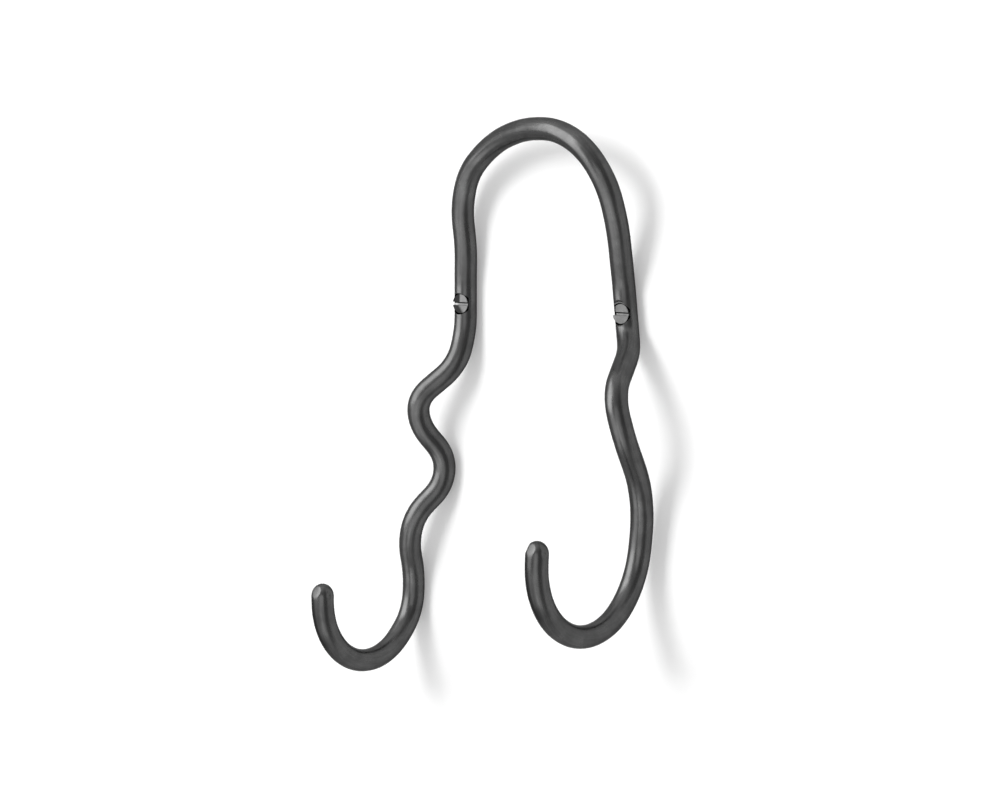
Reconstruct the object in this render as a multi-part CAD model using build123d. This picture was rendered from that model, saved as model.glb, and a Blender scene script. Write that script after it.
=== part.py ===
from build123d import *
import math
import os

# Double wall hook: one round rod, bent into an arch with a wavy leg and a coat hook on each side,
# and two slotted countersunk wood screws that go through it into the wall.
# The origin lies on the wall, midway between the screws. X runs right, Z up, and the room is on -Y.

# Rod
rod_diameter = 8.0
tip_flat = 0.8                # small flat left on each rounded end

# Screw line, where the rod lies against the wall
screw_spacing = 72.0

# Left hook, its bow in a plane square to the wall
left_hook_offset = 25.5       # outwards from the left screw
left_bow_gap = 0.0            # from the wall to the rod's back at the bow
left_bow_radius = 24.0
left_bow_drop = 104.0         # from the screw line down to the bow's centre
left_tip_rise = 6.5           # from the bow's centre up to the rod's end

# Right hook, wider and higher
right_hook_offset = 8.0
right_bow_gap = 3.5
right_bow_radius = 27.5
right_bow_drop = 79.5
right_tip_rise = 8.0
right_tip_lean = 1.0          # how far the end leans back towards the wall

# Arch over the screws
arch_rise = 63.0              # from the screw line up to the arch's highest corners

# Bending, and the straight stretches that it leaves
seat_straight = 10.0          # through each screw's seat
tip_straight = 0.5            # before each rounded end
shortest_straight = 0.05      # below this two bends meet with no straight between them
bow_corners = 4               # corners of the route round each bow

# Countersunk seats for the screws
face_depth = 1.0              # the screw's face below the rod's crest
bore_clearance = 0.25         # round the thread, so that the screw passes through

# Screws
head_diameter = 6.9
head_land = 0.25              # straight rim of the head above its cone
head_angle = 90.0
shank_diameter = 2.8          # plain, from the head to the wall
thread_diameter = 3.5         # in the wall
screw_length = 35.0
point_length = 4.0
slot_width = 1.0
slot_depth = 1.0

cut_margin = 1.0              # how far each cutter runs past the face it opens

# Worked out from the sizes above
rod_radius = rod_diameter / 2
head_radius = head_diameter / 2
shank_radius = shank_diameter / 2
thread_radius = thread_diameter / 2
head_slope = math.tan(math.radians(head_angle / 2))
head_height = head_land + (head_radius - shank_radius) / head_slope
left_screw = -screw_spacing / 2
right_screw = screw_spacing / 2
face_y = -rod_diameter + face_depth


def bow(x, gap, radius, drop):
    """Corners of the route round one hook's bow, from the tip's side to the wall's side."""
    half_step = math.pi / (2 * bow_corners)
    corner_reach = radius / math.cos(half_step)
    corners = []
    for index in range(bow_corners):
        angle = half_step * (2 * index + 1)
        out = gap + radius + corner_reach * math.cos(angle)
        corners.append((x, out, -drop - corner_reach * math.sin(angle)))
    return corners


# Route of the rod from the left tip to the right one, as (across, gap to the wall, height).
# Each corner lies outside its bend, so that a corner can be nearer to the wall than the rod is.
left_hook_x = left_screw - left_hook_offset
left_tip_gap = left_bow_gap + 2 * left_bow_radius
left_hook = [
    (left_hook_x, left_tip_gap, left_tip_rise - left_bow_drop),
    *bow(left_hook_x, left_bow_gap, left_bow_radius, left_bow_drop),
]
left_leg = [
    (left_screw - 24.5, 0.0, -99.5),
    (left_screw - 22.5, 5.5, -87.5),
    (left_screw - 18.5, 6.5, -76.5),
    (left_screw - 10.5, 0.0, -66.0),
    (left_screw - 9.5, 0.0, -55.5),
    (left_screw - 14.5, 8.5, -44.0),
    (left_screw - 13.0, 11.5, -34.0),
    (left_screw - 0.5, 3.5, -21.5),
    (left_screw, 0.0, -8.5),
]
arch = [
    (left_screw, 0.0, 8.5),
    (left_screw + 1.5, 1.5, 21.0),
    (left_screw + 1.5, 4.0, 33.0),
    (left_screw + 6.5, 6.5, arch_rise - 16.5),
    (left_screw + 20.5, 9.5, arch_rise - 5.5),
    (2.0, 13.5, arch_rise),
    (19.5, 17.0, arch_rise),
    (right_screw - 3.5, 18.0, arch_rise - 6.0),
    (right_screw + 3.5, 15.0, arch_rise - 18.0),
    (right_screw + 3.0, 8.5, 30.5),
    (right_screw - 0.8, 0.2, 10.0),
]
right_leg = [
    (right_screw + 1.0, 0.2, -6.5),
    (right_screw + 5.5, 5.0, -12.5),
    (right_screw + 11.5, 21.5, -25.5),
    (right_screw + 14.0, 19.0, -40.0),
    (right_screw + 11.5, 4.0, -62.0),
]
right_hook_x = right_screw + right_hook_offset
right_tip_gap = right_bow_gap + 2 * right_bow_radius - right_tip_lean
right_hook = [
    *reversed(bow(right_hook_x, right_bow_gap, right_bow_radius, right_bow_drop)),
    (right_hook_x, right_tip_gap, right_tip_rise - right_bow_drop),
]


def place(across, gap, height):
    """The rod's centre where its back is at this gap from the wall."""
    return Vector(across, -(gap + rod_radius), height)


def seat_ends(corners):
    """Places in the route of the two runs that are kept straight for the seats."""
    return [corners.index(place(*arch[0])) - 1, corners.index(place(*arch[-1]))]


def bent_path(corners):
    """Straight runs joined by tangent arcs, each as large as the straights beside it allow."""
    runs = [end - start for start, end in zip(corners, corners[1:])]
    reach = [run.length / 2 for run in runs]
    for tip in (0, -1):
        reach[tip] = runs[tip].length - tip_straight
    for index in seat_ends(corners):
        reach[index] -= seat_straight / 2
    path = []
    radii = []
    here = corners[0]
    for index, corner in enumerate(corners[1:-1]):
        turn = math.radians(runs[index].get_angle(runs[index + 1]))
        setback = min(reach[index], reach[index + 1])
        radius = setback / math.tan(turn / 2)
        start = corner - runs[index].normalized() * setback
        end = corner + runs[index + 1].normalized() * setback
        inwards = ((start + end) / 2 - corner).normalized()
        middle = corner + inwards * radius * (1 / math.cos(turn / 2) - 1)
        if (start - here).length > shortest_straight:
            path.append(Edge.make_line(here, start))
        else:
            start = here
        path.append(Edge.make_three_point_arc(start, middle, end))
        radii.append(radius)
        here = end
    path.append(Edge.make_line(here, corners[-1]))
    print("bend radii", [round(radius, 1) for radius in radii])
    return Wire(path)


def seat(x):
    """What the drill and the countersink take out of the rod for one screw."""
    bore_radius = thread_radius + bore_clearance
    cone_top = -rod_diameter - cut_margin
    mouth_radius = head_radius + (face_y + head_land - cone_top) * head_slope
    bore_y = face_y + head_land + (head_radius - bore_radius) / head_slope
    profile = Polyline(
        (0, cut_margin),
        (bore_radius, cut_margin),
        (bore_radius, bore_y),
        (mouth_radius, cone_top),
        (0, cone_top),
        close=True,
    )
    return Pos(X=x) * revolve(make_face(profile), Axis.Y)


def bent_rod():
    """The rod along its route, with rounded ends and both countersunk holes."""
    corners = [place(*point) for point in left_hook + left_leg + arch + right_leg + right_hook]
    route = bent_path(corners)
    section = Plane(origin=route @ 0, z_dir=route % 0) * Circle(rod_radius)
    rod = sweep(section, path=route)
    straight_volume = math.pi * rod_radius**2 * route.length
    print("route length", round(route.length, 1))
    print("volume against the length", round(rod.volume / straight_volume, 4))
    ends = rod.faces().filter_by(GeomType.PLANE)
    rod = fillet(ends.edges(), rod_radius - tip_flat / 2)
    for x in (left_screw, right_screw):
        rod -= seat(x)
    return rod


def wood_screw(x):
    """One slotted countersunk screw, its face towards the room and its point in the wall."""
    tip_y = face_y + screw_length
    profile = Polyline(
        (0, face_y),
        (head_radius, face_y),
        (head_radius, face_y + head_land),
        (shank_radius, face_y + head_height),
        (shank_radius, 0),
        (thread_radius, 0),
        (thread_radius, tip_y - point_length),
        (0, tip_y),
        close=True,
    )
    body = revolve(make_face(profile), Axis.Y)
    slot = Pos(Y=face_y) * Box(head_diameter + cut_margin, 2 * slot_depth, slot_width)
    return Pos(X=x) * (body - slot)


os.makedirs("parts", exist_ok=True)
pieces = {"rod": bent_rod()}
for name, x in (("screw_left", left_screw), ("screw_right", right_screw)):
    pieces[name] = wood_screw(x)
for name, piece in pieces.items():
    piece.label = name
    export_step(piece, f"parts/{name}.step")
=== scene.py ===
import math

import bmesh
import bpy
import numpy as np
from mathutils import Matrix, Vector, noise


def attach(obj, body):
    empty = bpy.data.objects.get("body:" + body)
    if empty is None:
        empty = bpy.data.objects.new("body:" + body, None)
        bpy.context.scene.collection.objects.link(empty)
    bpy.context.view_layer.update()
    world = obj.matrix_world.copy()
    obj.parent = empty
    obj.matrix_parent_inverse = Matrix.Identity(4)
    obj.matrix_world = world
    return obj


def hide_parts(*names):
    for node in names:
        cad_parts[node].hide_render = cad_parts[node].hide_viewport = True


# The frame is in metres, the sizes below are in millimetres
MM = 0.001

# The photograph's viewing angle in degrees, distance and framing in metres, and focal length
VIEW_AZIMUTH = 39.85
VIEW_ELEVATION = 5.84
VIEW_DISTANCE = 1.229
VIEW_ACROSS = -18.0 * MM
VIEW_UP = -30.6 * MM
FOCAL_LENGTH = 126.5

# Lamps: azimuth and elevation they shine from, distance, width, height and brightness of their face.
# Azimuth 0 is straight out from the wall and grows to the right.
KEY = (-14.6, 22.9, 1.5, 0.60, 0.60, 12.0)
LEFT_BOX = (-36.0, 19.0, 1.6, 1.50, 1.80, 4.2)
LOW_BOX = (-18.0, -34.0, 1.6, 1.75, 1.20, 1.6)
FRONT_BOX = (30.0, -22.0, 1.6, 1.00, 2.00, 1.15)

# World light: azimuth and elevation of its dark side and of its bright top, the cosines between which
# each comes in, and what it does to the strength
DARK_SIDE = (72.0, -5.0)
DARK_EDGE = (0.45, 0.95)
DARK_STRENGTH = (0.72, 0.36)
BRIGHT_TOP = (-40.0, 60.0)
BRIGHT_EDGE = (0.55, 1.0)
BRIGHT_STRENGTH = (0.0, 0.68)

# Wall: half its width in metres, its grey, and the glow that shows it white
WALL_HALF = 1.6
WALL_GREY = 0.75
WALL_GLOW = 0.26

# Rod, with a dome on each end
ROD_RADIUS = 4.0
CAP_HEIGHT = 4.4
TIP_STRAIGHT = 0.5
SEAT_STRAIGHT = 10.0
BOW_CORNERS = 4

# Screws: head, with its rim rounded off in two steps, and slot
SCREW_X = 36.0
FACE_Y = -7.0
HEAD_RADIUS = 3.45
HEAD_LAND = 0.25
RIM_ROUND = 0.12
RIM_CORNER = 0.03
SLOT_WIDTH = 1.2
SLOT_DEPTH = 0.7

# The right screw's upper left edge is filed off at this distance from its axis, this far down
FILED_EAR = 2.70
FILED_DEPTH = 0.5

# Screws: shank and thread, which starts in the wall and runs out to a point. Half a ridge takes this
# share of the pitch, and the tapers are the lengths over which root and crest run out.
SHANK_RADIUS = 1.4
ROOT_RADIUS = 1.2
ROOT_START = 0.3
CREST_RADIUS = 1.75
PITCH = 1.5
RIDGE_SHARE = 0.24
THREAD_START = 0.15
THREAD_RISE = 1.2
SCREW_END = 28.0
ROOT_TAPER = 5.0
CREST_TAPER = 3.5
ROOT_ROUNDNESS = 0.7
CREST_ROUNDNESS = 0.6
POINT_RADIUS = 0.02

# Seats: bore and cone, a straight mouth round the head, and a slanting ledge above the right one
BORE_RADIUS = 2.0
GROOVE_RADIUS = 3.78
GROOVE_DEPTH = 0.75
GROOVE_SHIFT = 0.15
FLARE_Y = -7.5
FLARE_RISE = 0.45

# Where the cutters end behind the rod and in front of it, how far the cone's cutter reaches into the
# mouth, and how far the slot's cutter reaches to each side and out of the face
BORE_BACK = 2.0
CUTTER_FRONT = -9.0
CONE_OVERLAP = 0.2
SLOT_REACH = 5.0
SLOT_FRONT = 1.0

# Mesh steps, the distances below which points are one, and what covers rounding in a length.
# The smoothing's spread is in ring steps.
RING_STEP = 0.5
RING_COUNT = 72
SMOOTHING = 3.0
SMOOTHING_REACH = 4
CAP_RINGS = 18
FIRST_CAP_RING = 0.35
LEAST_ARC_STEPS = 4
SEAT_COUNT = 96
SCREW_COUNT = 64
THREAD_COUNT = 32
THREAD_STEPS = 340
SLIVER = 0.001
SAME_PLACE = 1e-6
ROUNDING = 0.01

# Edges that bend by more than this many degrees are shaded as sharp
ROD_SHARP = 40
SCREW_SHARP = 14

# Hand-worked unevenness of the rod's skin, and how far the skin sinks so that none of it stands out
LUMP = 0.035
LUMP_SPACING = 7.0
FINE_LUMP = 0.012
FINE_SPACING = 2.2
LUMP_SINK = 0.015

# Flats ground on the rounded ends: azimuth and elevation they face, and depth. The ease is the depth
# over which a flat runs out into the round. The dent has a depth and a spread.
LEFT_FLATS = ((-6.0, 26.0, 0.62),)
RIGHT_FLATS = ((-6.0, 26.0, 0.62), (-52.0, 25.0, 0.50))
FLAT_EASE = 0.32
TIP_DENT = (80.0, 8.0, 0.45, 0.75)

# Rod's metal: grey and roughness from one kind of patch to the other, what a streak adds to them or
# takes away, the patterns' scales, and the tint that holds back its shine at grazing angles
ROD_GREY = (0.062, 0.090)
ROD_ROUGHNESS = (0.33, 0.26)
STREAK_GREY = 0.011
STREAK_ROUGHNESS = 0.03
STREAK_SCALE = (0.06, 0.9, 1.0)
PATCH_SCALE = 150.0
GRAIN_SCALE = 900.0
GRAIN_HEIGHT = 0.8
ROD_TINT = 0.45

# Painted shade on the hook ends' fronts, holding back a reflection there: where it comes in and ends,
# measured from the tip, the way it faces, the cosines between which it comes in, and the share of grey
# lost
PAINTED_SHADE_START = (55.0, 30.0)
PAINTED_SHADE_END = (6.5, 2.0)
PAINTED_SHADE_FACING = (-8.0, -10.0)
PAINTED_SHADE_EDGE = (0.72, 0.95)
PAINTED_SHADE_LOSS = 0.53

# Painted shade in the seats and in the gap round each head: how far out it goes, the share of grey lost,
# and from where on it holds: in front of the ledge, in front of the screw's face, how far a wall leans
# towards the screw and how squarely a floor faces the room
SEAT_SHADE_RADIUS = 4.4
SEAT_SHADE_LOSS = 0.35
GAP_MARGIN = 0.02
GAP_SHADE_LOSS = 0.92
LEDGE_FRONT = 0.1
GAP_FRONT = 0.3
WALL_LEAN = 0.3
FLOOR_FACING = 0.97

# Screws' metal: grey of each face and slot floor, roughness from one kind of patch to the other, and
# the patterns' scales. The left slot's floor goes across it from its first grey, a painted highlight
# at its open end, to its second.
LEFT_GREY = (0.068, 0.086)
LEFT_FLOOR_HIGHLIGHT_GREY = (0.24, 0.085)
RIGHT_GREY = (0.058, 0.072)
RIGHT_FLOOR_GREY = (0.070, 0.085)
SCREW_ROUGHNESS = (0.36, 0.26)
SCREW_PATCH_SCALE = 500.0
TURNING_SCALE = 900.0

# Shares of grey lost on the screws: painted shade on buried sides and on the left screw's left half,
# and the right screw's darker upper left edge. The slot's floor keeps the last share where it lies in
# shadow.
BURIED_SHADE_LOSS = 0.85
LEFT_SHADE_LOSS = 0.85
UPPER_LEFT_LOSS = 0.7
SHADOW_SHARE = 0.03

# Where these change, as distances to the right of the screw's axis: the left half's painted shade above
# the slot and below it, where it slants, the left slot floor's painted highlight, the darker upper left
# edge and the right slot's lit floor. Then the heights between which the slot's floor goes into shadow,
# the depth below the face from which a side counts as buried and gets painted shade, and the floor's
# margin.
LEFT_SHADE_UPPER = (-0.30, -0.15)
LEFT_SHADE_LOWER = (-1.5, 0.1)
LEFT_SHADE_SLANT = 0.75
LEFT_FLOOR_HIGHLIGHT_PLACES = (-3.4, -0.9)
UPPER_LEFT_DARKER = (-2.1, -1.9)
LIT_FLOOR = (-2.35, -2.15)
SLOT_SHADOW = (0.08, 0.14)
FACE_SKIN = 0.10
SLOT_MARGIN = 0.02

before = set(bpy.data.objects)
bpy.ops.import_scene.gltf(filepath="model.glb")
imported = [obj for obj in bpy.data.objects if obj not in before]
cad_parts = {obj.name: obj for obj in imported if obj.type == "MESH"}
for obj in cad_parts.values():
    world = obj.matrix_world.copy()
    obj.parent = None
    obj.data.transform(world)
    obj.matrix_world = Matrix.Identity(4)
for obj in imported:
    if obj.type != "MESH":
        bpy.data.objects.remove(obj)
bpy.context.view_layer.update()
scene = bpy.context.scene
scene.view_settings.view_transform = "Standard"


def direction(azimuth, elevation):
    """The unit vector from the object to that side."""
    a = math.radians(azimuth)
    e = math.radians(elevation)
    return Vector((math.sin(a) * math.cos(e), -math.cos(a) * math.cos(e), math.sin(e)))


def add_camera():
    back = direction(VIEW_AZIMUTH, VIEW_ELEVATION)
    right = Vector((0, 0, 1)).cross(back).normalized()
    up = back.cross(right)
    data = bpy.data.cameras.new("camera")
    data.lens = FOCAL_LENGTH
    camera = bpy.data.objects.new("camera", data)
    place = right * VIEW_ACROSS + up * VIEW_UP + back * VIEW_DISTANCE
    camera.matrix_world = Matrix.Translation(place) @ Matrix((right, up, back)).transposed().to_4x4()
    scene.collection.objects.link(camera)
    scene.camera = camera


def add_area(name, azimuth, elevation, distance, width, height, brightness):
    data = bpy.data.lights.new(name, "AREA")
    data.shape = "RECTANGLE"
    data.size = width
    data.size_y = height
    data.energy = brightness * math.pi * width * height
    light = bpy.data.objects.new(name, data)
    out = direction(azimuth, elevation)
    light.location = out * distance
    light.rotation_mode = "QUATERNION"
    light.rotation_quaternion = out.to_track_quat("Z", "Y")
    scene.collection.objects.link(light)
    return light


class Graph:
    """Short names for building a tree of shader nodes. A mask is 1 where it holds and 0 elsewhere."""

    def __init__(self, tree):
        self.tree = tree
        tree.nodes.clear()

    def node(self, kind, inputs=None, **settings):
        made = self.tree.nodes.new("ShaderNode" + kind)
        for key, value in settings.items():
            setattr(made, key, value)
        for key, value in (inputs or {}).items():
            if isinstance(value, bpy.types.NodeSocket):
                self.tree.links.new(value, made.inputs[key])
            else:
                made.inputs[key].default_value = value
        return made

    def math(self, operation, *values):
        return self.node("Math", dict(enumerate(values)), operation=operation).outputs[0]

    def plus(self, first, second):
        return self.math("ADD", first, second)

    def times(self, first, *others):
        for other in others:
            first = self.math("MULTIPLY", first, other)
        return first

    def less(self, value, limit):
        return self.math("LESS_THAN", value, limit)

    def more(self, value, limit):
        return self.math("GREATER_THAN", value, limit)

    def darkened(self, tone, mask, loss):
        """The tone, less the lost share of it where the mask holds."""
        return self.times(tone, self.math("SUBTRACT", 1.0, self.times(mask, loss)))

    def either(self, mask, inside, outside):
        return self.plus(self.times(mask, inside), self.times(self.math("SUBTRACT", 1.0, mask), outside))

    def ramp(self, value, low, high, to_low, to_high, smooth=False):
        inputs = {"Value": value, "From Min": low, "From Max": high, "To Min": to_low, "To Max": to_high}
        kind = "SMOOTHSTEP" if smooth else "LINEAR"
        return self.node("MapRange", inputs, interpolation_type=kind).outputs["Result"]

    def across(self, value, places, to_low, to_high, smooth=False):
        """A ramp between two places that are given in millimetres."""
        low, high = places
        return self.ramp(value, low * MM, high * MM, to_low, to_high, smooth)

    def varied(self, pattern, low, high):
        """The noise pattern's usual range, stretched to run from low to high."""
        return self.ramp(pattern, 0.3, 0.7, low, high)

    def facing(self, way, azimuth, elevation):
        """The cosine of the angle between the way and that side."""
        inputs = {0: way, 1: tuple(direction(azimuth, elevation))}
        return self.node("VectorMath", inputs, operation="DOT_PRODUCT").outputs["Value"]

    def axes(self, vector):
        split = self.node("SeparateXYZ", {0: vector})
        return [split.outputs[axis] for axis in "XYZ"]

    def noise(self, where, scale, detail=4.0, distortion=0.0):
        inputs = {"Vector": where, "Scale": scale, "Detail": detail, "Roughness": 0.6,
                  "Distortion": distortion}
        return self.node("TexNoise", inputs).outputs["Fac"]

    def bump(self, height, strength, distance):
        inputs = {"Strength": strength, "Distance": distance * MM, "Height": height}
        return self.node("Bump", inputs).outputs[0]

    def metal(self, tone, rough, bump, tint=1.0):
        """Ends the tree with a grey metal of this tone."""
        colour = self.node("CombineColor", {0: tone, 1: tone, 2: tone}).outputs[0]
        inputs = {"Base Color": colour, "Roughness": rough, "Metallic": 1.0, "Specular Tint": grey(tint),
                  "Normal": bump}
        shader = self.node("BsdfPrincipled", inputs)
        self.node("OutputMaterial", {"Surface": shader.outputs[0]})


def grey(value):
    return (value, value, value, 1)


def new_material(name):
    material = bpy.data.materials.new(name)
    material.use_nodes = True
    return material, Graph(material.node_tree)


def add_world():
    world = bpy.data.worlds.new("studio")
    scene.world = world
    world.use_nodes = True
    g = Graph(world.node_tree)
    where = g.node("TexCoord").outputs["Generated"]
    dark_side = g.ramp(g.facing(where, *DARK_SIDE), *DARK_EDGE, *DARK_STRENGTH, smooth=True)
    bright_top = g.ramp(g.facing(where, *BRIGHT_TOP), *BRIGHT_EDGE, *BRIGHT_STRENGTH, smooth=True)
    strength = g.plus(dark_side, bright_top)
    back = g.node("Background", {"Color": grey(1.0), "Strength": strength})
    g.node("OutputWorld", {"Surface": back.outputs["Background"]})


def add_wall():
    """The white wall that takes the shadow; from behind it can be seen through."""
    mesh = bpy.data.meshes.new("wall")
    half = WALL_HALF
    corners = [(-half, 0, -half), (half, 0, -half), (half, 0, half), (-half, 0, half)]
    mesh.from_pydata(corners, [], [(0, 1, 2, 3)])
    wall = bpy.data.objects.new("wall", mesh)
    scene.collection.objects.link(wall)
    material, g = new_material("wall_white")
    paint = g.node("BsdfDiffuse", {"Color": grey(WALL_GREY)}).outputs[0]
    glow = g.node("Emission", {"Color": grey(1.0), "Strength": WALL_GLOW}).outputs[0]
    path = g.node("LightPath")
    seen = g.math("MAXIMUM", path.outputs["Is Camera Ray"], path.outputs["Is Glossy Ray"])
    both = g.node("AddShader", {0: paint, 1: glow}).outputs[0]
    front = g.node("MixShader", {0: seen, 1: paint, 2: both}).outputs[0]
    side = g.node("NewGeometry").outputs["Backfacing"]
    clear = g.node("BsdfTransparent").outputs[0]
    shown = g.node("MixShader", {0: side, 1: front, 2: clear}).outputs[0]
    g.node("OutputMaterial", {"Surface": shown})
    mesh.materials.append(material)


def bow(x, gap, radius, drop):
    """Corners of the route round one hook's bow, from the tip's side to the wall's side."""
    half_step = math.pi / (2 * BOW_CORNERS)
    reach = radius / math.cos(half_step)
    corners = []
    for index in range(BOW_CORNERS):
        angle = half_step * (2 * index + 1)
        corners.append((x, gap + radius + reach * math.cos(angle), -drop - reach * math.sin(angle)))
    return corners


# The rod's route, as (across, gap from the wall to the rod's back, height)
LEFT_HOOK = [(-61.5, 48.0, -97.5), *bow(-61.5, 0.0, 24.0, 104.0)]
LEFT_LEG = [
    (-60.5, 0.0, -99.5),
    (-58.5, 5.5, -87.5),
    (-54.5, 6.5, -76.5),
    (-46.5, 0.0, -66.0),
    (-45.5, 0.0, -55.5),
    (-50.5, 8.5, -44.0),
    (-49.0, 11.5, -34.0),
    (-36.5, 3.5, -21.5),
    (-36.0, 0.0, -8.5),
]
ARCH = [
    (-36.0, 0.0, 8.5),
    (-34.5, 1.5, 21.0),
    (-34.5, 4.0, 33.0),
    (-29.5, 6.5, 46.5),
    (-15.5, 9.5, 57.5),
    (2.0, 13.5, 63.0),
    (19.5, 17.0, 63.0),
    (32.5, 18.0, 57.0),
    (39.5, 15.0, 45.0),
    (39.0, 8.5, 30.5),
    (35.2, 0.2, 10.0),
]
RIGHT_LEG = [
    (37.0, 0.2, -6.5),
    (41.5, 5.0, -12.5),
    (47.5, 21.5, -25.5),
    (50.0, 19.0, -40.0),
    (47.5, 4.0, -62.0),
]
RIGHT_HOOK = [*reversed(bow(44.0, 3.5, 27.5, 79.5)), (44.0, 57.5, -71.5)]


def bent_line():
    """Points along the rod's centre line, in millimetres: straight runs and tangent arcs."""
    route = LEFT_HOOK + LEFT_LEG + ARCH + RIGHT_LEG + RIGHT_HOOK
    corners = [Vector((x, -gap - ROD_RADIUS, z)) for x, gap, z in route]
    runs = [end - start for start, end in zip(corners, corners[1:])]
    reach = [run.length / 2 for run in runs]
    for tip in (0, -1):
        reach[tip] = runs[tip].length - TIP_STRAIGHT
    left_seat = len(LEFT_HOOK + LEFT_LEG) - 1
    for index in (left_seat, left_seat + len(ARCH)):
        reach[index] -= SEAT_STRAIGHT / 2
    points = [corners[0]]
    for index, corner in enumerate(corners[1:-1]):
        before = runs[index].normalized()
        after = runs[index + 1].normalized()
        turn = before.angle(after)
        setback = min(reach[index], reach[index + 1])
        radius = setback / math.tan(turn / 2)
        start = corner - before * setback
        end = corner + after * setback
        inwards = ((start + end) / 2 - corner).normalized()
        centre = corner + inwards * (radius / math.cos(turn / 2))
        steps = max(LEAST_ARC_STEPS, round(radius * turn / RING_STEP))
        for step in range(steps + 1):
            share = step / steps
            start_part = (start - centre) * math.sin((1 - share) * turn)
            end_part = (end - centre) * math.sin(share * turn)
            points.append(centre + (start_part + end_part) / math.sin(turn))
    points.append(corners[-1])
    return np.array([tuple(point) for point in points])


def lengths(points):
    """Distance along the line from its start to each point."""
    return np.concatenate(([0.0], np.cumsum(np.linalg.norm(np.diff(points, axis=0), axis=1))))


def even(points, step):
    """The same line with its points an even step apart."""
    gaps = np.linalg.norm(np.diff(points, axis=0), axis=1)
    keep = np.concatenate(([True], gaps > SAME_PLACE))
    points = points[keep]
    along = lengths(points)
    wanted = np.linspace(0, along[-1], round(along[-1] / step) + 1)
    return np.stack([np.interp(wanted, along, points[:, axis]) for axis in range(3)], axis=1)


def eased(points, spread):
    """The line with its changes of bend evened out, so that light runs over it without a break."""
    reach = int(SMOOTHING_REACH * spread)
    offsets = np.arange(-reach, reach + 1)
    weights = np.exp(-0.5 * (offsets / spread) ** 2)
    weights /= weights.sum()
    before = 2 * points[0] - points[reach:0:-1]
    after = 2 * points[-1] - points[-2:-reach - 2:-1]
    padded = np.concatenate((before, points, after))
    return np.stack([np.convolve(padded[:, axis], weights, "valid") for axis in range(3)], axis=1)


def ground(point, centre, flats):
    """The point of a rounded end after its flats and its one small dent are ground in."""
    for azimuth, elevation, depth in flats:
        face = direction(azimuth, elevation)
        over = (point - centre).dot(face) - (ROD_RADIUS - depth)
        if over > 0:
            point = point - face * over * over / (over + FLAT_EASE)
    azimuth, elevation, depth, spread = TIP_DENT
    face = direction(azimuth, elevation)
    away = (point - centre - face * ROD_RADIUS).length
    return point - face * depth * math.exp(-(away / spread) ** 2)


def lump_at(skin):
    """How far the hand-worked skin stands out at this place."""
    lump = LUMP * noise.noise(skin / LUMP_SPACING) - LUMP_SINK
    return lump + FINE_LUMP * noise.noise(skin / FINE_SPACING)


def rod_rings(length):
    """Place along the rod and radius of each ring of points, from the left dome to the right one."""
    dome = []
    for ring in range(CAP_RINGS):
        angle = math.pi / 2 * (ring + FIRST_CAP_RING) / CAP_RINGS
        dome.append((CAP_HEIGHT * (1 - math.cos(angle)), ROD_RADIUS * math.sin(angle)))
    last = length - CAP_HEIGHT + ROUNDING
    body = [(s, ROD_RADIUS) for s in np.arange(CAP_HEIGHT, last, RING_STEP)]
    return dome + body + [(length - s, radius) for s, radius in reversed(dome)]


def rod_faces(ring_total, first_tip):
    """Faces between the rings, and a fan of triangles from each tip's point to the ring beside it."""
    faces = []
    for ring in range(ring_total - 1):
        a = ring * RING_COUNT
        b = a + RING_COUNT
        for k in range(RING_COUNT):
            n = (k + 1) % RING_COUNT
            faces.append((a + k, a + n, b + n, b + k))
    last = (ring_total - 1) * RING_COUNT
    for k in range(RING_COUNT):
        n = (k + 1) % RING_COUNT
        faces.append((first_tip, n, k))
        faces.append((first_tip + 1, last + k, last + n))
    return faces


def unwrap(mesh, rings, length, first_tip):
    """Lays the rod's skin out flat, in millimetres along it and round it."""
    layer = mesh.uv_layers.new(name="length")
    around = 2 * math.pi * ROD_RADIUS
    for polygon in mesh.polygons:
        places = [mesh.loops[corner].vertex_index % RING_COUNT for corner in polygon.loop_indices]
        for corner in polygon.loop_indices:
            vert = mesh.loops[corner].vertex_index
            if vert >= first_tip:
                layer.data[corner].uv = (0.0 if vert == first_tip else length, around / 2)
                continue
            ring, k = divmod(vert, RING_COUNT)
            if k == 0 and max(places) > 1:
                k = RING_COUNT
            layer.data[corner].uv = (rings[ring][0], around * k / RING_COUNT)


def tube(name, line):
    """A round rod along the line with rounded ends, unwrapped along its length."""
    tangents = np.gradient(line, axis=0)
    tangents /= np.linalg.norm(tangents, axis=1)[:, None]
    along = lengths(line)
    length = along[-1]

    def at(values, s):
        return Vector([np.interp(s, along, values[:, axis]) for axis in range(3)])

    rings = rod_rings(length)
    ends = ((at(line, CAP_HEIGHT), LEFT_FLATS), (at(line, length - CAP_HEIGHT), RIGHT_FLATS))
    side = Vector((1, 0, 0))
    verts = []
    for s, radius in rings:
        centre = at(line, s)
        tangent = at(tangents, s).normalized()
        side = (side - tangent * side.dot(tangent)).normalized()
        other = tangent.cross(side)
        for k in range(RING_COUNT):
            turn = 2 * math.pi * k / RING_COUNT
            out = side * math.cos(turn) + other * math.sin(turn)
            lump = lump_at(centre + out * ROD_RADIUS)
            vert = centre + out * (radius + lump * radius / ROD_RADIUS)
            for cap, flats in ends:
                if (vert - cap).length < 2 * ROD_RADIUS:
                    vert = ground(vert, cap, flats)
            verts.append(vert)
    first_tip = len(verts)
    for s in (0.0, length):
        verts.append(at(line, s))
    mesh = bpy.data.meshes.new(name)
    mesh.from_pydata([vert * MM for vert in verts], [], rod_faces(len(rings), first_tip))
    unwrap(mesh, rings, length, first_tip)
    return mesh


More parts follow.
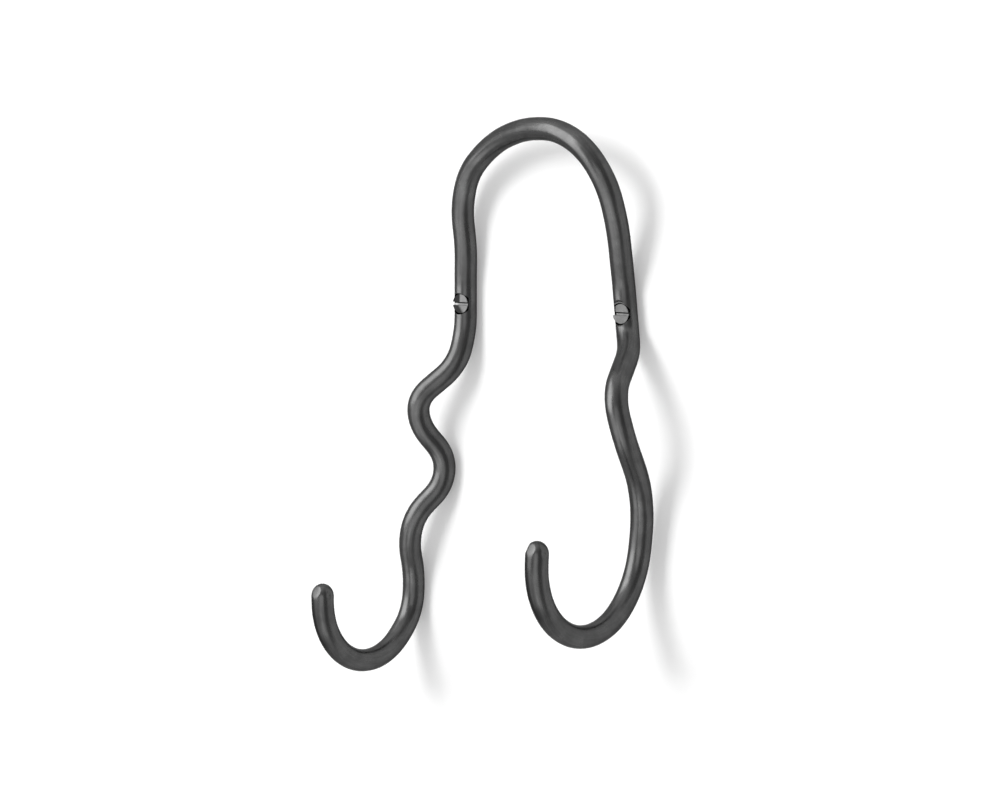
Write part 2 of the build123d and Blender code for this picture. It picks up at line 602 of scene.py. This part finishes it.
def turned(name, profile, count):
    """A closed mesh that is the profile, as (y, radius), turned about the Y axis."""
    mesh = bpy.data.meshes.new(name)
    verts = []
    faces = []
    for y, radius in profile[1:-1]:
        for k in range(count):
            turn = 2 * math.pi * k / count
            verts.append((radius * math.cos(turn) * MM, y * MM, radius * math.sin(turn) * MM))
    rings = len(profile) - 2
    for ring in range(rings - 1):
        for k in range(count):
            n = (k + 1) % count
            a, b = ring * count, (ring + 1) * count
            faces.append((a + k, b + k, b + n, a + n))
    verts.append((0, profile[0][0] * MM, 0))
    verts.append((0, profile[-1][0] * MM, 0))
    for k in range(count):
        n = (k + 1) % count
        faces.append((rings * count, k, n))
        faces.append((rings * count + 1, (rings - 1) * count + n, (rings - 1) * count + k))
    mesh.from_pydata(verts, [], faces)
    return mesh


def box_mesh(name, low, high):
    mesh = bpy.data.meshes.new(name)
    made = bmesh.new()
    bmesh.ops.create_cube(made, size=1.0)
    for vert in made.verts:
        place = [(low[i] + high[i]) / 2 + vert.co[i] * (high[i] - low[i]) for i in range(3)]
        vert.co = Vector(place) * MM
    made.to_mesh(mesh)
    made.free()
    return mesh


def add_object(name, mesh, x=0.0):
    made = bpy.data.objects.new(name, mesh)
    made.location.x = x * MM
    scene.collection.objects.link(made)
    return made


def cut(piece, cutters):
    """Takes the cutters out of the piece for good."""
    for cutter in cutters:
        step = piece.modifiers.new("cut", "BOOLEAN")
        step.operation = "DIFFERENCE"
        step.solver = "EXACT"
        step.object = cutter
    freeze(piece)
    for cutter in cutters:
        bpy.data.objects.remove(cutter)


def freeze(piece):
    """Applies the piece's modifiers."""
    bpy.context.view_layer.update()
    graph = bpy.context.evaluated_depsgraph_get()
    mesh = bpy.data.meshes.new_from_object(piece.evaluated_get(graph))
    piece.modifiers.clear()
    piece.data = mesh


def drop_slivers(piece):
    """Merges the points that a cut leaves on one another, and with them its faces without area."""
    made = bmesh.new()
    made.from_mesh(piece.data)
    bmesh.ops.remove_doubles(made, verts=made.verts, dist=SLIVER * MM)
    bmesh.ops.dissolve_degenerate(made, edges=made.edges, dist=SLIVER * MM)
    made.to_mesh(piece.data)
    made.free()


def finish_surface(piece, angle, material):
    """Shades the piece smooth but for edges sharper than the angle, and gives it its material."""
    piece.data.polygons.foreach_set("use_smooth", [True] * len(piece.data.polygons))
    piece.data.set_sharp_from_angle(angle=math.radians(angle))
    piece.data.materials.clear()
    piece.data.materials.append(material)


def painted_shade_on_hooks(g, skin, normal, length):
    """Mask of the painted shade on the fronts of both hook ends."""
    from_middle = g.math("ABSOLUTE", g.math("SUBTRACT", g.axes(skin)[0], length / 2))
    start = [length / 2 - distance for distance in PAINTED_SHADE_START]
    end = [length / 2 - distance for distance in PAINTED_SHADE_END]
    hook = g.times(g.ramp(from_middle, *start, 0.0, 1.0, smooth=True),
                   g.ramp(from_middle, *end, 1.0, 0.0, smooth=True))
    front = g.ramp(g.facing(normal, *PAINTED_SHADE_FACING), *PAINTED_SHADE_EDGE, 0.0, 1.0, smooth=True)
    return g.times(hook, front)


def painted_seat_shade(g, place, normal):
    """Masks of the painted shade in the seats and in the gap round each screw head."""
    x, y, z = g.axes(place)
    middle = g.plus(g.times(g.math("SIGN", x), SCREW_X * MM), GROOVE_SHIFT * MM)
    radial = g.node("CombineXYZ", {"X": g.math("SUBTRACT", x, middle), "Z": z}).outputs[0]
    away = g.node("VectorMath", {0: radial}, operation="LENGTH").outputs["Value"]
    inwards = g.node("VectorMath", {0: radial, 1: normal}, operation="DOT_PRODUCT").outputs["Value"]
    wall = g.less(inwards, -WALL_LEAN * MM)
    floor = g.less(g.axes(normal)[1], -FLOOR_FACING)
    ledge = g.times(floor, g.more(y, (FLARE_Y - LEDGE_FRONT) * MM))
    seat_shade = g.times(g.less(away, SEAT_SHADE_RADIUS * MM), g.math("MAXIMUM", wall, ledge))
    deep = g.more(y, (FACE_Y - GAP_FRONT) * MM)
    narrow = g.less(away, (GROOVE_RADIUS + GAP_MARGIN) * MM)
    gap_shade = g.times(narrow, deep, g.math("MAXIMUM", wall, floor))
    return seat_shade, gap_shade


def rod_metal(length):
    """Blackened metal: streaks along the rod, patches, a fine grain, painted shade on hook ends and in
    seats.
    """
    material, g = new_material("blackened_rod")
    coords = g.node("TexCoord")
    skin = coords.outputs["UV"]
    place = coords.outputs["Object"]
    normal = g.node("NewGeometry").outputs["Normal"]
    lengthwise = g.node("Mapping", {"Vector": skin, "Scale": STREAK_SCALE}).outputs[0]
    streaks = g.noise(lengthwise, 1.0, distortion=0.4)
    patches = g.noise(place, PATCH_SCALE)
    grain = g.noise(place, GRAIN_SCALE, detail=3.0)

    tone = g.plus(g.varied(streaks, -STREAK_GREY, STREAK_GREY), g.varied(patches, *ROD_GREY))
    # Painted shade on the hook ends' fronts, where it holds back a reflection
    tone = g.darkened(tone, painted_shade_on_hooks(g, skin, normal, length), PAINTED_SHADE_LOSS)
    # Painted shade in the seats and in the gap round each head
    seat_shade, gap_shade = painted_seat_shade(g, place, normal)
    tone = g.darkened(tone, seat_shade, SEAT_SHADE_LOSS)
    tone = g.darkened(tone, gap_shade, GAP_SHADE_LOSS)
    rough = g.plus(g.varied(streaks, -STREAK_ROUGHNESS, STREAK_ROUGHNESS),
                   g.varied(patches, *ROD_ROUGHNESS))
    height = g.plus(g.times(grain, GRAIN_HEIGHT), streaks)
    g.metal(tone, rough, g.bump(height, strength=0.5, distance=0.02), ROD_TINT)
    return material


def left_screw_tones(g, x, z, patches):
    """Left screw: face grey with painted shade on its left half; slot floor grey with a painted
    highlight.
    """
    above = g.more(z, 0.0)
    slant = g.plus(x, g.times(g.plus(z, SLOT_WIDTH / 2 * MM), LEFT_SHADE_SLANT))
    upper = g.across(x, LEFT_SHADE_UPPER, 1.0, 0.0, smooth=True)
    lower = g.across(slant, LEFT_SHADE_LOWER, 1.0, 0.0, smooth=True)
    # Painted shade on the left half of the face, above and below the slot
    face = g.darkened(g.varied(patches, *LEFT_GREY), g.either(above, upper, lower), LEFT_SHADE_LOSS)
    # The slot's floor is painted lighter towards its open left end: a painted highlight
    floor = g.across(x, LEFT_FLOOR_HIGHLIGHT_PLACES, *LEFT_FLOOR_HIGHLIGHT_GREY)
    return face, floor


def right_screw_tones(g, x, z, patches):
    """Grey of the right screw's face, darker over its upper left edge, and of its slot's floor."""
    # The face is made darker over its upper left edge
    upper_left = g.times(g.more(z, 0.0), g.across(x, UPPER_LEFT_DARKER, 1.0, 0.0))
    face = g.darkened(g.varied(patches, *RIGHT_GREY), upper_left, UPPER_LEFT_LOSS)
    lit = g.across(x, LIT_FLOOR, SHADOW_SHARE, 1.0)
    floor = g.times(g.varied(patches, *RIGHT_FLOOR_GREY), lit)
    return face, floor


def screw_metal(side):
    """Turned steel with painted shadow in the slot and painted shade on the buried sides."""
    material, g = new_material("screw_metal")
    place = g.node("TexCoord").outputs["Object"]
    wave = {"Vector": place, "Scale": TURNING_SCALE, "Distortion": 0.4, "Detail": 2.0}
    turning = g.node("TexWave", wave, wave_type="RINGS", rings_direction="Y").outputs["Fac"]
    patches = g.noise(place, SCREW_PATCH_SCALE)
    x, y, z = g.axes(place)
    inside = g.more(y, (FACE_Y + FACE_SKIN) * MM)
    middle = g.less(g.math("ABSOLUTE", z), (SLOT_WIDTH / 2 - SLOT_MARGIN) * MM)
    front = g.less(y, (FACE_Y + SLOT_DEPTH + SLOT_MARGIN) * MM)
    on_floor = g.times(inside, middle, front)
    tones = left_screw_tones if side < 0 else right_screw_tones
    face_tone, floor_tone = tones(g, x, z, patches)
    # Painted shadow over the upper part of the slot's floor
    floor_tone = g.times(floor_tone, g.across(z, SLOT_SHADOW, 1.0, SHADOW_SHARE))
    # Painted shade on the head's buried sides
    tone = g.either(on_floor, floor_tone, g.darkened(face_tone, inside, BURIED_SHADE_LOSS))
    bump = g.bump(turning, strength=0.3, distance=0.01)
    g.metal(tone, g.varied(patches, *SCREW_ROUGHNESS), bump)
    return material


def seat_cutters():
    """What the drill, the countersink and the straight mouths take out of the rod."""
    cone_y = FACE_Y + HEAD_LAND + HEAD_RADIUS - BORE_RADIUS
    floor_y = FACE_Y + GROOVE_DEPTH
    front_y = floor_y - CONE_OVERLAP
    mouth_radius = BORE_RADIUS + cone_y - floor_y
    cone = [
        (BORE_BACK, 0),
        (BORE_BACK, BORE_RADIUS),
        (cone_y, BORE_RADIUS),
        (floor_y, mouth_radius),
        (front_y, mouth_radius),
        (front_y, 0),
    ]
    mouth = [(floor_y, 0), (floor_y, GROOVE_RADIUS), (CUTTER_FRONT, GROOVE_RADIUS), (CUTTER_FRONT, 0)]
    flare_radius = GROOVE_RADIUS + FLARE_Y - CUTTER_FRONT
    flare = [(FLARE_Y, 0), (FLARE_Y, GROOVE_RADIUS), (CUTTER_FRONT, flare_radius), (CUTTER_FRONT, 0)]
    cutters = []
    for x in (-SCREW_X, SCREW_X):
        cutters.append(add_object("seat", turned("seat", cone[::-1], SEAT_COUNT), x))
        cutters.append(add_object("mouth", turned("mouth", mouth[::-1], SEAT_COUNT), x + GROOVE_SHIFT))
    ledge = add_object("flare", turned("flare", flare[::-1], SEAT_COUNT), SCREW_X + GROOVE_SHIFT)
    ledge.location.z = FLARE_RISE * MM
    return [*cutters, ledge]


def add_rod():
    line = eased(even(bent_line(), RING_STEP), SMOOTHING)
    length = float(np.linalg.norm(np.diff(line, axis=0), axis=1).sum())
    rod = add_object("hook_rod", tube("hook_rod", line))
    cut(rod, seat_cutters())
    drop_slivers(rod)
    finish_surface(rod, ROD_SHARP, rod_metal(length))
    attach(rod, "root")
    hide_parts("rod")


def screw_head(name):
    """The head, the plain shank and the first of the root, turned."""
    head_end = FACE_Y + (HEAD_LAND + HEAD_RADIUS - SHANK_RADIUS)
    profile = [
        (FACE_Y, 0),
        (FACE_Y, HEAD_RADIUS - RIM_ROUND),
        (FACE_Y + RIM_CORNER, HEAD_RADIUS - RIM_CORNER),
        (FACE_Y + RIM_ROUND, HEAD_RADIUS),
        (FACE_Y + HEAD_LAND, HEAD_RADIUS),
        (head_end, SHANK_RADIUS),
        (0.0, SHANK_RADIUS),
        (ROOT_START, ROOT_RADIUS),
        (ROOT_START, 0),
    ]
    return turned(name, profile, SCREW_COUNT)


def file_ear(mesh):
    """Files the head's upper left edge back, where it would stand out of the rod."""
    for vert in mesh.vertices:
        if vert.co.y < (FACE_Y + FILED_DEPTH) * MM and vert.co.z > 0:
            vert.co.x = max(vert.co.x, -FILED_EAR * MM)


def add_thread(mesh):
    """Winds the thread round the root, as a grid of points from the wall's face to the screw's point."""
    thread = bmesh.new()
    thread.from_mesh(mesh)
    rows = []
    for step in range(THREAD_STEPS + 1):
        y = THREAD_START + (SCREW_END - THREAD_START) * step / THREAD_STEPS
        left = SCREW_END - y
        root = ROOT_RADIUS * min(1.0, max(0.0, left / ROOT_TAPER) ** ROOT_ROUNDNESS)
        rise = (y - THREAD_START) / THREAD_RISE
        fall = max(0.0, left / CREST_TAPER) ** CREST_ROUNDNESS
        crest = (CREST_RADIUS - ROOT_RADIUS) * min(1.0, rise, fall)
        row = []
        for k in range(THREAD_COUNT):
            turn = 2 * math.pi * k / THREAD_COUNT
            phase = (y / PITCH - turn / (2 * math.pi)) % 1.0
            ridge = max(0.0, 1.0 - abs(phase - 0.5) / RIDGE_SHARE)
            radius = max(POINT_RADIUS, root + crest * ridge)
            place = (radius * math.cos(turn) * MM, y * MM, radius * math.sin(turn) * MM)
            row.append(thread.verts.new(place))
        rows.append(row)
    for above, below in zip(rows, rows[1:]):
        for k in range(THREAD_COUNT):
            n = (k + 1) % THREAD_COUNT
            thread.faces.new((above[k], below[k], below[n], above[n]))
    thread.faces.new(rows[0])
    thread.faces.new(rows[-1][::-1])
    thread.to_mesh(mesh)
    thread.free()


def add_screw(name, node, side):
    x = side * SCREW_X
    mesh = screw_head(name)
    screw = add_object(name, mesh, x)
    half_width = SLOT_WIDTH / 2
    slot_low = (-SLOT_REACH, FACE_Y - SLOT_FRONT, -half_width)
    slot_high = (SLOT_REACH, FACE_Y + SLOT_DEPTH, half_width)
    slot = add_object("slot", box_mesh("slot", slot_low, slot_high), x)
    if side > 0:
        file_ear(mesh)
    cut(screw, [slot])
    add_thread(screw.data)
    finish_surface(screw, SCREW_SHARP, screw_metal(side))
    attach(screw, "root")
    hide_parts(node)


add_camera()
key = add_area("key", *KEY)
key.visible_glossy = False
for name, sizes in (("left_box", LEFT_BOX), ("low_box", LOW_BOX), ("front_box", FRONT_BOX)):
    box = add_area(name, *sizes)
    box.visible_diffuse = False
add_world()
add_wall()
add_rod()
for side, node in ((-1, "screw_left"), (1, "screw_right")):
    add_screw("wood_" + node, node, side)
